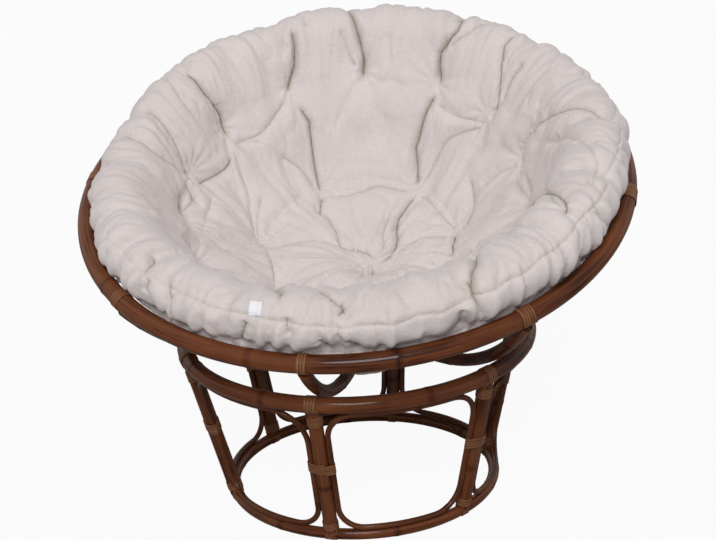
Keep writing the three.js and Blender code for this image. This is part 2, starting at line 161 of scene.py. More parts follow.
class Finish:
    def __init__(self, name, **constants):
        self.material = bpy.data.materials.new(name)
        self.material.use_nodes = True
        self.tree = self.material.node_tree
        self.surface = self.tree.nodes["Principled BSDF"]
        for socket, value in constants.items():
            self.surface.inputs[socket.replace("_", " ")].default_value = value

    def feed(self, socket, value):
        if isinstance(value, Wire):
            self.tree.links.new(value.socket, socket)
        elif isinstance(value, tuple) and socket.type == "RGBA":
            socket.default_value = (*value, 1)
        else:
            socket.default_value = value

    def node(self, kind, settings=None, sockets=None):
        node = self.tree.nodes.new("ShaderNode" + kind)
        for setting, value in (settings or {}).items():
            setattr(node, setting, value)
        for socket, value in (sockets or {}).items():
            self.feed(node.inputs[socket], value)
        return Wire(self, node.outputs[0])

    def attribute(self, name):
        return self.node("Attribute", {"attribute_name": name})

    def noise(self, vector, stretch, detail=3.0, roughness=0.55):
        """Noise whose grain is as fine along each axis as the three numbers of the stretch say."""
        vector = self.node("VectorMath", {"operation": "MULTIPLY"}, {0: vector, 1: stretch})
        sockets = {"Vector": vector, "Scale": 1.0, "Detail": detail, "Roughness": roughness}
        return self.node("TexNoise", None, sockets)

    def blend(self, share, first, second):
        """A colour between two, by a share."""
        return self.node("Mix", {"data_type": "RGBA"}, {0: share, 6: first, 7: second}).out("Result")

    def bump(self, height, distance, strength):
        return self.node("Bump", None, {"Height": height, "Distance": distance, "Strength": strength})

    def wear(self, **sockets):
        for socket, value in sockets.items():
            self.feed(self.surface.inputs[socket.replace("_", " ")], value)
        return self.material


floor_finish = Finish("pale_floor", Roughness=0.9, Specular_IOR_Level=0.0)
camera_ray = floor_finish.node("LightPath")
floor_finish.wear(Base_Color=floor_colour)
glow = floor_finish.node("Emission", None, {"Color": (1, 1, 1), "Strength": 1.0})
sheet_mix = floor_finish.node("MixShader")
mixer = sheet_mix.socket.node
floor_finish.feed(mixer.inputs[0], camera_ray * backdrop_white)
floor_finish.tree.links.new(floor_finish.surface.outputs[0], mixer.inputs[1])
floor_finish.tree.links.new(glow.socket, mixer.inputs[2])
output = floor_finish.tree.nodes["Material Output"]
floor_finish.tree.links.new(mixer.outputs[0], output.inputs["Surface"])

bm = bmesh.new()
bmesh.ops.create_circle(bm, cap_ends=True, segments=floor_sides, radius=floor_reach)
floor_mesh = bpy.data.meshes.new("floor")
bm.to_mesh(floor_mesh)
bm.free()
floor = bpy.data.objects.new("floor", floor_mesh)
floor.data.materials.append(floor_finish.material)
bpy.context.scene.collection.objects.link(floor)

# Bottom ring of the base: a pole of rattan, steamed and bent into a hoop, stained dark red-brown and
# lacquered. Its ends meet at the back. The poles of the whole frame are made this way: a straight pole
# with its knots is drawn along X and then bent along its course.
bottom_ring_radius = 0.263
bottom_pole_radius = 0.011
bottom_ring_height = 0.0114
hoop_join = 0.0004
knot_spacing = 0.26
knot_width = 0.0045
knot_swell = 0.06
first_knot_shares = (0.3, 0.9)
next_knot_shares = (0.75, 1.3)
pole_unevenness = 0.018
uneven_stretch = 7
uneven_shift = 5.3
grain_shift = 1.37
pole_sides = 24
pole_step = 0.006
stain_dark = (0.01, 0.0026, 0.0012)
stain_mid = (0.056, 0.0135, 0.005)
stain_light = (0.175, 0.057, 0.021)
lacquer_roughness = 0.21
streak_stretch = (5, 190, 190)
fibre_stretch = (14, 900, 900)
blotch_stretch = (7, 26, 26)
knot_line = (0.0022, 0.0006)
knot_shadow = (0.011, 0.002)
fibre_height = 0.0004


def rattan_finish(name, shade):
    finish = Finish(name, Coat_Weight=0.2, Coat_Roughness=0.1, Specular_IOR_Level=0.03)
    grain = finish.attribute("grain").out("Vector")
    knot = finish.attribute("knot").out("Fac")
    streaks = finish.noise(grain, streak_stretch, detail=4, roughness=0.6)
    fibres = finish.noise(grain, fibre_stretch, detail=2, roughness=0.5)
    blotches = finish.noise(grain, blotch_stretch)
    ring_line = knot.step(*knot_line)
    knot_shade = knot.step(*knot_shadow)
    light = (streaks * 0.55 + blotches * 0.65 + fibres * 0.2 - knot_shade * 0.16).step(0.42, 1.02)
    stains = (stain_dark, stain_mid, stain_light)
    dark, mid, pale = (tuple(part * shade for part in stain) for stain in stains)
    deep = (streaks * 0.5 + blotches * 0.5).step(0.5, 0.3)
    colour = finish.blend(deep * 0.75, finish.blend(light, mid, pale), dark)
    colour = finish.blend(ring_line * 0.8, colour, stain_dark)
    roughness = blotches * 0.16 + streaks * 0.1 + lacquer_roughness
    relief = finish.bump(fibres * 0.5 + streaks * 0.5 - ring_line * 1.5, fibre_height, strength=0.55)
    return finish.wear(Base_Color=colour, Roughness=roughness, Normal=relief)


def lengthwise(edges, length):
    """Those of the edges of a straight piece that run along it, which is along X."""
    return [edge for edge in edges if abs(edge.verts[0].co.x - edge.verts[1].co.x) > length / 2]


def straight_pole(radius, length, spacing, seed):
    dice = random.Random(seed)
    bm = bmesh.new()
    lie_along = Matrix.Translation((length / 2, 0, 0)) @ Matrix.Rotation(math.pi / 2, 4, "Y")
    bmesh.ops.create_cone(
        bm,
        cap_ends=True,
        segments=pole_sides,
        radius1=radius,
        radius2=radius,
        depth=length,
        matrix=lie_along,
    )
    bmesh.ops.subdivide_edges(bm, edges=lengthwise(bm.edges, length), cuts=round(length / pole_step))
    knots = [dice.uniform(*first_knot_shares) * spacing]
    while knots[-1] < length:
        knots.append(knots[-1] + spacing * dice.uniform(*next_knot_shares))
    grain = bm.verts.layers.float_vector.new("grain")
    knot = bm.verts.layers.float.new("knot")
    for vert in bm.verts:
        vert[grain] = vert.co + Vector((seed * grain_shift, 0, 0))
        vert[knot] = min(abs(vert.co.x - place) for place in knots)
        swell = 1 + knot_swell * math.exp(-((vert[knot] / knot_width) ** 2))
        spot = Vector((vert.co.x * uneven_stretch, seed * uneven_shift, 0))
        swell += pole_unevenness * noise.noise(spot)
        vert.co.y *= swell
        vert.co.z *= swell
    return bm


def bend(bm, course):
    """Course gives, for a length along the piece, its place there and the two ways across it."""
    for vert in bm.verts:
        place, side, up = course(vert.co.x)
        vert.co = place + side * vert.co.y + up * vert.co.z


def add_piece(bm, name, finish, body, slot, *nodes):
    bmesh.ops.recalc_face_normals(bm, faces=bm.faces)
    for face in bm.faces:
        face.smooth = True
    piece = bpy.data.objects.new(name, bpy.data.meshes.new(name))
    bm.to_mesh(piece.data)
    bm.free()
    piece.data.materials.append(finish)
    bpy.context.scene.collection.objects.link(piece)
    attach(piece, body)
    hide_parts(*nodes)
    return piece


def kept_off_floor(bm):
    """What touches the floor is worn flat there."""
    for vert in bm.verts:
        vert.co.z = max(vert.co.z, 0)


def hoop(radius, pole_radius, height, place, spacing, seed):
    """A level hoop about the Z axis with its join at the back, then put in its place."""
    bm = straight_pole(pole_radius, 2 * math.pi * radius - hoop_join, spacing, seed)

    def course(length):
        angle = length / radius - math.pi
        out = Vector((math.sin(angle), -math.cos(angle), 0))
        return out * radius + Vector((0, 0, height)), out, Vector((0, 0, 1))

    bend(bm, course)
    bm.transform(place)
    return bm


rattan = rattan_finish("lacquered_rattan", 1.0)
ring = hoop(bottom_ring_radius, bottom_pole_radius, bottom_ring_height, to_base, knot_spacing, seed=1)
kept_off_floor(ring)
add_piece(ring, "bottom_ring_pole", rattan, "base", "rattan_pole", "base_bottom_ring")

# Top ring of the base: a thicker pole, bent and joined in the same way and nailed to the heads of the
# posts. The bowl lies in it.
top_ring_radius = 0.339
top_pole_radius = 0.016
top_ring_height = 0.318
ring = hoop(top_ring_radius, top_pole_radius, top_ring_height, to_base, knot_spacing, seed=2)
add_piece(ring, "top_ring_pole", rattan, "base", "rattan_pole", "base_top_ring")

# Six posts: straight poles that lean outwards from the bottom ring to the top ring. Each end is coped,
# which is to say cut hollow, to the ring that it is nailed to.
post_count = 6
post_radius = 0.014
post_knot_spacing = 0.19
cope_gap = 0.0004
post_run = top_ring_radius - bottom_ring_radius
post_rise = top_ring_height - bottom_ring_height
post_length = math.hypot(post_run, post_rise)
post_lean = math.atan2(post_run, post_rise)


def around(count, step):
    return Matrix.Rotation(2 * math.pi * step / count, 4, "Z")


def coped(across, pole_radius):
    """How far an end stands off the middle of the pole that it is cut to."""
    return math.sqrt(max(pole_radius**2 - across**2, (pole_radius / 2) ** 2)) + cope_gap


def cope_ends(bm, length, first_pole, last_pole):
    for vert in bm.verts:
        vert.co.x = max(vert.co.x, coped(vert.co.y, first_pole))
        vert.co.x = min(vert.co.x, length - coped(vert.co.y, last_pole))


on_post = (
    Matrix.Translation((0, -bottom_ring_radius, bottom_ring_height))
    @ Matrix.Rotation(post_lean, 4, "X")
    @ Matrix.Rotation(-math.pi / 2, 4, "Y")
)
for step in range(post_count):
    bm = straight_pole(post_radius, post_length, post_knot_spacing, seed=10 + step)
    cope_ends(bm, post_length, bottom_pole_radius, top_pole_radius)
    bm.transform(to_base @ around(post_count, step) @ on_post)
    add_piece(bm, f"post_pole_{step + 1}", rattan, "base", "rattan_pole", f"post_{step + 1}")

# A loop of thin cane lines each bay between two posts. It lies against the posts and both rings, bends
# round the bay's corners by hand, so no two corners are quite alike, and its ends meet at half height.
cane_radius = 0.0055
cane_shade = 0.8
cane_knot_spacing = 0.34
corner_steps = 12
loop_gap = 0.0003
corner_radii = ((0.058, 0.066, 0.052, 0.047), (0.07, 0.06, 0.055, 0.044), (0.06, 0.072, 0.048, 0.05))
loop_spacing = 0.003
cane_offset = post_radius + loop_gap + cane_radius
loop_top = post_length - top_pole_radius - loop_gap - cane_radius
loop_bottom = bottom_pole_radius + loop_gap + cane_radius


def cone_radius(slant):
    return bottom_ring_radius + slant * math.sin(post_lean)


def on_cone(across, slant):
    """A place on the cone that the posts lie on, across from the middle of the first bay."""
    radius = cone_radius(slant)
    angle = math.pi / post_count + across / radius
    out = Vector((math.sin(angle), -math.cos(angle), 0))
    place = out * radius + Vector((0, 0, bottom_ring_height + slant * math.cos(post_lean)))
    return place, (out * math.cos(post_lean) - Vector((0, 0, math.sin(post_lean)))).normalized()


def half_bay(slant):
    radius = cone_radius(slant)
    return radius * (math.pi / post_count - math.asin(cane_offset / radius))


def loop_line(corners):
    """The loop's middle line, from the left side's half height up, over, down and back."""
    top_left, top_right, bottom_right, bottom_left = corners
    middle = post_length / 2
    turns = (
        (-1, loop_top - top_left, top_left, 0, 1),
        (1, loop_top - top_right, top_right, 1, 0),
        (1, loop_bottom + bottom_right, -bottom_right, 0, 1),
        (-1, loop_bottom + bottom_left, -bottom_left, 1, 0),
    )
    line = [(-half_bay(middle), middle)]
    for side, slant, radius, first, last in turns:
        for step in range(corner_steps + 1):
            turn = (first + (last - first) * step / corner_steps) * math.pi / 2
            height = slant + radius * math.sin(turn)
            inset = abs(radius) * (1 - math.cos(turn))
            line.append((side * (half_bay(height) - inset), height))
    return [*line, line[0]]


def followed(stations):
    """A course through stations, each a place and a way out of the surface there."""
    lengths = [0.0]
    for (first, _), (second, _) in zip(stations, stations[1:]):
        lengths.append(lengths[-1] + (second - first).length)

    def course(length):
        length = min(max(length, 0), lengths[-1])
        high = min(bisect_right(lengths, length), len(lengths) - 1)
        low = high - 1
        share = (length - lengths[low]) / max(lengths[high] - lengths[low], 1e-9)
        place = stations[low][0].lerp(stations[high][0], share)
        out = stations[low][1].lerp(stations[high][1], share).normalized()
        before, after = max(low - 1, 0), min(high + 1, len(stations) - 1)
        onward = (stations[after][0] - stations[before][0]).normalized()
        side = out.cross(onward).normalized()
        return place, side, onward.cross(side)

    return course, lengths[-1]


def spread(line):
    """Stations on the cone, close together along a line of flat places."""
    stations = []
    for first, second in zip(line, line[1:]):
        count = max(1, round(math.dist(first, second) / loop_spacing))
        for step in range(count):
            share = step / count
            stations.append(on_cone(*(a + (b - a) * share for a, b in zip(first, second))))
    return [*stations, on_cone(*line[-1])]


cane = rattan_finish("thin_cane", cane_shade)
for step in range(post_count):
    course, length = followed(spread(loop_line(corner_radii[step % len(corner_radii)])))
    bm = straight_pole(cane_radius, length - hoop_join, cane_knot_spacing, seed=20 + step)
    bend(bm, course)
    bm.transform(to_base @ around(post_count, step))
    add_piece(bm, f"bay_cane_{step + 1}", cane, "base", "thin_cane", f"bay_loop_{step + 1}")

# Bindings of the base: flat strips split from the skin of the cane, left lighter than the poles. At each
# post's head, and again at its foot, a strip goes round the ring and then round the post. A third binds
# the post to the canes beside it at half height.
peel_width = 0.0056
peel_thickness = 0.0012
peel_bevel = peel_thickness * 0.8
peel_lift = 0.0003
peel_middle = peel_lift + peel_thickness / 2
peel_pitch = 0.0058
peel_step = 0.0022
stations_per_turn = 40
head_ring_turns = 4
head_post_turns = 4.5
foot_ring_turns = 3
foot_post_turns = 3
foot_leave = math.radians(30)
stem_start = math.radians(60)
mid_turns = 4
mid_arc_steps = 8
mid_band_rise = 0.01
peel_edge_shade = (0.04, 0.013, 0.005)
peel_mid = (0.12, 0.042, 0.017)
peel_light = (0.24, 0.11, 0.048)
peel_fibre_stretch = (12, 1500, 400)
peel_patch_stretch = (16, 60, 60)
peel_fibre_height = 0.0003
peel_grain_shift = 0.61


def peel_finish():
    finish = Finish("rattan_peel", Coat_Weight=0.1, Coat_Roughness=0.2, Specular_IOR_Level=0.08)
    grain = finish.attribute("grain").out("Vector")
    fibres = finish.noise(grain, peel_fibre_stretch)
    patches = finish.noise(grain, peel_patch_stretch, detail=2)
    edge = finish.attribute("knot").out("Fac")
    light = (fibres * 0.6 + patches * 0.7).step(0.42, 0.95)
    colour = finish.blend(light, peel_mid, peel_light)
    # Painted shade: the strip is darker towards its edges, in the grooves where its turns meet
    colour = finish.blend(edge.step(0.72, 1.0) * 0.7, colour, peel_edge_shade)
    relief = finish.bump(fibres, peel_fibre_height, strength=0.5)
    return finish.wear(Base_Color=colour, Roughness=patches * 0.2 + 0.32, Normal=relief)


def peel_strip(length, seed):
    """A straight strip along X with a rounded back. The attribute knot tells how near its edges it is."""
    bm = bmesh.new()
    size = Matrix.Diagonal((length, peel_width, peel_thickness, 1))
    bmesh.ops.create_cube(bm, size=1, matrix=Matrix.Translation((length / 2, 0, 0)) @ size)
    upper = [edge for edge in bm.edges if all(vert.co.z > 0 for vert in edge.verts)]
    bmesh.ops.bevel(
        bm,
        geom=lengthwise(upper, length),
        offset=peel_bevel,
        affect="EDGES",
        segments=2,
        profile=0.5,
        material=-1,
    )
    bmesh.ops.subdivide_edges(bm, edges=lengthwise(bm.edges, length), cuts=round(length / peel_step))
    grain = bm.verts.layers.float_vector.new("grain")
    edge_layer = bm.verts.layers.float.new("knot")
    for vert in bm.verts:
        vert[grain] = vert.co + Vector((seed * peel_grain_shift, 0, 0))
        vert[edge_layer] = abs(vert.co.y) / (peel_width / 2)
    return bm


def wind(stations, seed):
    course, length = followed(stations)
    bm = peel_strip(length, seed)
    bend(bm, course)
    return bm


def bar_turns(bar_radius, turns, leave):
    """Stations round a bar along X, which end coming down the bar's outer side, +Y, by the angle leave."""
    stations = []
    reach = bar_radius + peel_middle
    for step in range(round(turns * stations_per_turn) + 1):
        left = turns - step / stations_per_turn
        angle = left * 2 * math.pi + leave
        out = Vector((0, math.cos(angle), math.sin(angle)))
        stations.append((out * reach + Vector(((turns / 2 - left) * peel_pitch, 0, 0)), out))
    return stations


def stem_turns(stem_radius, bar_radius, turns):
    """Stations of the same strip wound on, round the stem below the bar."""
    stations = []
    reach = stem_radius + peel_middle
    top = bar_radius + peel_lift + peel_thickness + peel_width / 2
    for step in range(round(turns * stations_per_turn) + 1):
        turn = step / stations_per_turn
        angle = turn * 2 * math.pi + stem_start
        out = Vector((math.sin(angle), math.cos(angle), 0))
        stations.append((out * reach + Vector((0, 0, -top - turn * peel_pitch)), out))
    return stations


def ring_joint(radius, height, lean):
    """Turns what is drawn about a bar and its stem so that the bar lies on the front of a ring."""
    return (
        Matrix.Translation((0, -radius, height))
        @ Matrix.Rotation(lean, 4, "X")
        @ Matrix.Rotation(math.pi, 4, "Z")
    )


def mid_stations():
    """Round a post and the canes beside it: arcs on the three poles, with straight runs between them."""
    radius = cone_radius(mid_slant)
    sink = (radius - math.sqrt(radius**2 - cane_offset**2)) * math.cos(post_lean)
    arcs = (
        ((0, 0), post_radius, -35, 35),
        ((cane_offset, sink), cane_radius, 30, 150),
        ((0, 0), post_radius, 145, 215),
        ((-cane_offset, sink), cane_radius, 210, 330),
    )
    turn = []
    for (x, y), pole, first, last in arcs:
        for step in range(mid_arc_steps + 1):
            angle = math.radians(first + (last - first) * step / mid_arc_steps)
            out = Vector((math.sin(angle), math.cos(angle), 0))
            turn.append((Vector((x, y, 0)) + out * (pole + peel_middle), out))
    stations = []
    count = round(mid_turns * len(turn))
    for step in range(count + 1):
        place, out = turn[step % len(turn)]
        stations.append((place + Vector((0, 0, (1 / 2 - step / count) * mid_turns * peel_pitch)), out))
    return stations


peel = peel_finish()
mid_slant = post_length / 2 + mid_band_rise
head = bar_turns(top_pole_radius, head_ring_turns, leave=0)
head += stem_turns(post_radius, top_pole_radius, head_post_turns)
foot = bar_turns(bottom_pole_radius, foot_ring_turns, foot_leave)
foot += stem_turns(post_radius, bottom_pole_radius, foot_post_turns)
head_joint = ring_joint(top_ring_radius, top_ring_height, post_lean)
mid_height = bottom_ring_height + mid_slant * math.cos(post_lean)
band_joint = ring_joint(cone_radius(mid_slant), mid_height, post_lean)
foot_joint = ring_joint(bottom_ring_radius, bottom_ring_height, post_lean) @ Matrix.Rotation(math.pi, 4, "Y")
bindings = (("head", head, head_joint), ("mid", mid_stations(), band_joint), ("foot", foot, foot_joint))
for kind, stations, joint in bindings:
    for step in range(post_count):
        bm = wind(stations, seed=30 + step)
        bm.transform(to_base @ around(post_count, step) @ joint)
        kept_off_floor(bm)
        node = f"post_{kind}_binding_{step + 1}"
        add_piece(bm, f"{kind}_peel_{step + 1}", peel, "base", "rattan_peel", node)

# Bowl frame: a thick rim, eight bent ribs and a small ring where the ribs end, which all lie on a sphere.
# The bowl is drawn level about the middle of that sphere and then leans to the front.
rim_radius = 0.532
rim_pole_radius = 0.018
bowl_depth = 0.3147
rib_set_out = 0.011
rib_count = 8
rib_pole_radius = 0.0124
rim_knot_spacing = 0.34
rib_knot_spacing = 0.3
bowl_ring_radius = 0.135
rim_arc_radius = (rim_radius**2 + bowl_depth**2) / (2 * bowl_depth)
rib_arc_radius = rim_arc_radius + rib_set_out
rim_drop = rim_arc_radius - bowl_depth
rim_polar = math.asin(rim_radius / rim_arc_radius)
bowl_ring_polar = math.asin(bowl_ring_radius / rib_arc_radius)
to_frame = to_bowl @ Matrix.Rotation(bowl_turn, 4, "Z")

rim = hoop(rim_radius, rim_pole_radius, -rim_drop, to_frame, rim_knot_spacing, seed=3)
add_piece(rim, "rim_pole", rattan, "bowl", "rattan_pole", "bowl_rim")
bowl_ring_height = -rib_arc_radius * math.cos(bowl_ring_polar)
small_ring = hoop(bowl_ring_radius, rib_pole_radius, bowl_ring_height, to_frame, knot_spacing, seed=4)
add_piece(small_ring, "bowl_ring_pole", rattan, "bowl", "rattan_pole", "bowl_bottom_ring")


def rib_course(length):
    polar = bowl_ring_polar + length / rib_arc_radius
    out = Vector((0, -math.sin(polar), -math.cos(polar)))
    return out * rib_arc_radius, Vector((1, 0, 0)), out


rib_length = rib_arc_radius * (rim_polar - bowl_ring_polar)
for step in range(rib_count):
    bm = straight_pole(rib_pole_radius, rib_length, rib_knot_spacing, seed=40 + step)
    cope_ends(bm, rib_length, rib_pole_radius, rim_pole_radius)
    bend(bm, rib_course)
    bm.transform(to_frame @ around(rib_count, step))
    add_piece(bm, f"rib_pole_{step + 1}", rattan, "bowl", "rattan_pole", f"bowl_rib_{step + 1}")

# Bindings of the rim: peel wound round the rim where each rib is nailed to it, and once or twice round
# the rib's head. The binder used more turns at some ribs than at others.
rim_turns = (3, 5, 7, 4, 4, 4, 5, 4)
rib_turns = 1.6
rim_joint = ring_joint(rim_radius, -rim_drop, math.pi / 2 - rim_polar)
for step in range(rib_count):
    stations = bar_turns(rim_pole_radius, rim_turns[step], leave=0)
    stations += stem_turns(rib_pole_radius, rim_pole_radius, rib_turns)
    bm = wind(stations, seed=50 + step)
    bm.transform(to_frame @ around(rib_count, step) @ rim_joint)
    add_piece(bm, f"rim_peel_{step + 1}", peel, "bowl", "rattan_peel", f"rim_binding_{step + 1}")

# Cushion: one round cover of ecru cotton, filled with hollow fibre and pressed into the bowl. Its edge is
# gathered and rolls up over the rim. Twenty-five tufts of thread draw the cover down to its back, and the
# spare cloth lies in folds between them.
cushion_gap = 0.0006
cushion_thickness = 0.14
cushion_rest = math.radians(28)
crown_heights = (0.112, 0.13, 0.146, 0.119, 0.13, 0.131, 0.08, 0.096)
roll_lean = Vector((0.014, 0.01, 0))
neck_clear = 0.0015
edge_overlap = 0.015
roll_shares = (
    (0.735, 0.24), (0.785, 0.58), (0.83, 0.85), (0.875, 0.97), (0.92, 0.98), (0.97, 0.85), (0.997, 0.6),
    (0.995, 0.32), (0.972, 0.13),
)
seat_shares = (
    (0, -1), (0.12, -1), (0.24, -0.97), (0.425, -0.83), (0.55, -0.6), (0.63, -0.36), (0.685, -0.08),
)
profile_step = 0.008
seat_points = 60
cover_turns = 256
tuft_centre = Vector((-0.01, 0.05))
centre_tuft = (0.017, -0.007)
outer_tuft_turns = (5, 26, 48, 69, 90, 110, 133, 157, 184, 212, 240, 262, 280, 301, 322, 344)
outer_tuft_radius = 0.336
inner_tuft_turns = (27, 66, 105, 153, 212, 270, 309, 348)
inner_tuft_radius = 0.19
tuft_pull = 0.03
tuft_reach = 0.036

mean_crown = sum(crown_heights) / len(crown_heights)
cover_arc = rib_arc_radius - rib_pole_radius - cushion_gap
neck_radius = rim_radius - rim_pole_radius - neck_clear - cushion_gap
edge_radius = neck_radius + edge_overlap
seat_depth = cover_arc - rim_drop - cushion_thickness
level_to_bowl = np.array(to_bowl)


def smooth_line(corners, step):
    """A smooth line through corners, with points about a step apart."""
    corners = [np.array(corner) for corner in corners]
    padded = [2 * corners[0] - corners[1], *corners, 2 * corners[-1] - corners[-2]]
    line = []
    for before, first, second, after in zip(padded, padded[1:], padded[2:], padded[3:]):
        count = max(1, round(float(np.linalg.norm(second - first)) / step))
        for share in np.arange(count) / count:
            swing = (second - before) * share + (2 * before - 5 * first + 4 * second - after) * share**2
            line.append(first + (swing + (3 * first - before - 3 * second + after) * share**3) / 2)
    return np.array([*line, corners[-1]])


top_corners = [(edge_radius * across, seat_depth * up) for across, up in seat_shares]
top_corners += [(edge_radius * across, mean_crown * up) for across, up in roll_shares]
cover_line = smooth_line([*top_corners, (neck_radius, 0)], profile_step)
cover_way = np.concatenate([[0], np.cumsum(np.hypot(*np.diff(cover_line, axis=0).T))])
cover_along = np.gradient(cover_line, axis=0) / np.gradient(cover_way)[:, None]


def crown_at(turn):
    """The roll's height in a direction, blended between the measured heights. Turns are from the front."""
    count = len(crown_heights)
    place = (turn / (2 * np.pi)) % 1 * count
    first = np.floor(place).astype(int) % count
    share = place - np.floor(place)
    share = share**2 * (3 - 2 * share)
    heights = np.array(crown_heights)
    return heights[first] * (1 - share) + heights[(first + 1) % count] * share


def on_cover(turn, way):
    """Places on the smooth cover, drawn level, by turn from the front and way from the middle."""
    radius = np.interp(way, cover_way, cover_line[:, 0])
    height = np.interp(way, cover_way, cover_line[:, 1])
    rise = np.maximum(0, height) / mean_crown
    x = radius * np.sin(turn) + roll_lean.x * rise
    y = -radius * np.cos(turn) + roll_lean.y * rise
    z = height + (crown_at(turn) - mean_crown) * rise - rim_drop
    return np.stack([x, y, z], -1)


def way_and_turn(places):
    """The reverse of on_cover, for places on or near the cover."""
    rise = np.maximum(0, places[:, 2] + rim_drop) / mean_crown
    x = places[:, 0] - roll_lean.x * rise
    y = places[:, 1] - roll_lean.y * rise
    turn = np.arctan2(x, -y)
    radius = np.hypot(x, y)
    height = places[:, 2] + rim_drop
    height = np.where(height > 0, height * mean_crown / crown_at(turn), height)
    way = np.empty(len(places))
    batch = 20000
    for part in np.array_split(np.arange(len(places)), max(1, len(places) // batch)):
        away = (radius[part, None] - cover_line[:, 0]) ** 2 + (height[part, None] - cover_line[:, 1]) ** 2
        nearest = np.argmin(away, axis=1)
        offset = np.stack([radius[part], height[part]], -1) - cover_line[nearest]
        way[part] = cover_way[nearest] + np.sum(offset * cover_along[nearest], axis=1)
    return np.clip(way, 0, cover_way[-1]), turn


def cover_normal(turn, way):
    """The way out of the smooth cover."""
    nudge = 0.004
    way = np.maximum(way, nudge)
    across = on_cover(turn + nudge, way) - on_cover(turn - nudge, way)
    along = on_cover(turn, way + nudge) - on_cover(turn, way - nudge)
    out = np.cross(along, across)
    return out / np.linalg.norm(out, axis=-1, keepdims=True)


def tuft_place(radius, degrees):
    """Turn and way of a tuft on a circle about the middle of the tufts, in the seat's part of the cover."""
    angle = math.radians(degrees)
    x = tuft_centre.x + radius * math.sin(angle)
    y = tuft_centre.y - radius * math.cos(angle)
    seat_radii = cover_line[:seat_points, 0]
    return math.atan2(x, -y), float(np.interp(math.hypot(x, y), seat_radii, cover_way[:seat_points]))


outer_tufts = [tuft_place(outer_tuft_radius, degrees) for degrees in outer_tuft_turns]
inner_tufts = [tuft_place(inner_tuft_radius, degrees) for degrees in inner_tuft_turns]
middle_tuft = (math.atan2(centre_tuft[0], -centre_tuft[1]), math.hypot(*centre_tuft))
tufts = [middle_tuft, *inner_tufts, *outer_tufts]


def read_places(mesh):
    places = np.empty(len(mesh.vertices) * 3)
    mesh.vertices.foreach_get("co", places)
    return places.reshape(-1, 3)


def write_places(mesh, places):
    mesh.vertices.foreach_set("co", places.ravel())
    mesh.update()


def finished(piece):
    """The piece's mesh with its modifiers applied, which then come off."""
    mesh = bpy.data.meshes.new_from_object(piece.evaluated_get(bpy.context.evaluated_depsgraph_get()))
    piece.modifiers.clear()
    piece.data = mesh
    return read_places(mesh)


def is_cover(places):
    """True on the cover and its roll, and false on the back."""
    polar = np.arctan2(np.hypot(places[:, 0], places[:, 1]), -places[:, 2])
    back_reach = np.interp(polar, np.arctan2(back_line[:, 0], -back_line[:, 1]), np.hypot(*back_line.T))
    return (places[:, 2] > -rim_drop) | (np.linalg.norm(places, axis=1) < back_reach - voxel / 2)


def ramp(value, start, run):
    """0 up to the start and 1 a run further on. With a run below zero it is 1 a run further back."""
    return np.clip((value - start) / run, 0, 1)


def away_from(spots, places):
    """How far each place is from the nearest of the spots."""
    return np.min([np.linalg.norm(places - spot, axis=1) for spot in spots], axis=0)


# The pad is drawn level: its outline is spun about the bowl's axis, and the cover is drawn in at the tufts.
# Its back rests on the ribs round the bowl's middle, and is stretched straight from there to the rim.
rest_points = 38
back_points = 42
weld_reach = 0.0001
lobe_depth = 0.008
lobe_reach = 0.026
lobe_rise = (0.494, 0.08)
lobe_fall = (0.749, -0.05)
voxel = 0.008
rest_polars = np.linspace(0, cushion_rest, rest_points)
rest_line = cover_arc * np.stack([np.sin(rest_polars), -np.cos(rest_polars)], -1)
shares = np.linspace(0, 1, back_points)[1:, None]
back_line = np.concatenate([rest_line, rest_line[-1] * (1 - shares) + shares * (neck_radius, -rim_drop)])
bm = bmesh.new()
outline = [*back_line, *(cover_line[-2::-1] - (0, rim_drop))]
verts = [bm.verts.new((across, 0, height)) for across, height in outline]
edges = [bm.edges.new(pair) for pair in zip(verts, verts[1:])]
bmesh.ops.spin(
    bm,
    geom=verts + edges,
    cent=(0, 0, 0),
    axis=(0, 0, 1),
    angle=2 * math.pi,
    steps=cover_turns,
    use_merge=True,
)
bmesh.ops.remove_doubles(bm, verts=bm.verts, dist=weld_reach)
bmesh.ops.recalc_face_normals(bm, faces=bm.faces)
cushion = bpy.data.objects.new("tufted_cushion", bpy.data.meshes.new("tufted_cushion"))
bm.to_mesh(cushion.data)
bm.free()
bpy.context.scene.collection.objects.link(cushion)

places = read_places(cushion.data)
on_top = is_cover(places)
flat = places[on_top]
turn = np.arctan2(flat[:, 0], -flat[:, 1])
height = flat[:, 2] + rim_drop
radius = np.hypot(flat[:, 0], flat[:, 1])
spun_from = [
    np.argmin((cover_line[:, 0] - across) ** 2 + (cover_line[:, 1] - up) ** 2)
    for across, up in zip(radius, height)
]
way = cover_way[spun_from]
shaped = on_cover(turn, way)
off_tuft = away_from([on_cover(*tuft) for tuft in tufts], shaped)
pull = tuft_pull * np.exp(-((off_tuft / tuft_reach) ** 2))
lobe_turns = np.array([turn for turn, _ in outer_tufts])
off_lobe = np.min(np.abs((turn[:, None] - lobe_turns + np.pi) % (2 * np.pi) - np.pi), axis=1) * edge_radius
on_roll = ramp(way, *lobe_rise) * ramp(way, *lobe_fall)
pull += lobe_depth * np.exp(-((off_lobe / lobe_reach) ** 2)) * on_roll
places[on_top] = shaped - cover_normal(turn, way) * pull[:, None]
write_places(cushion.data, places)

remesh = cushion.modifiers.new("even_mesh", "REMESH")
remesh.mode = "VOXEL"
remesh.voxel_size = voxel
places = finished(cushion)

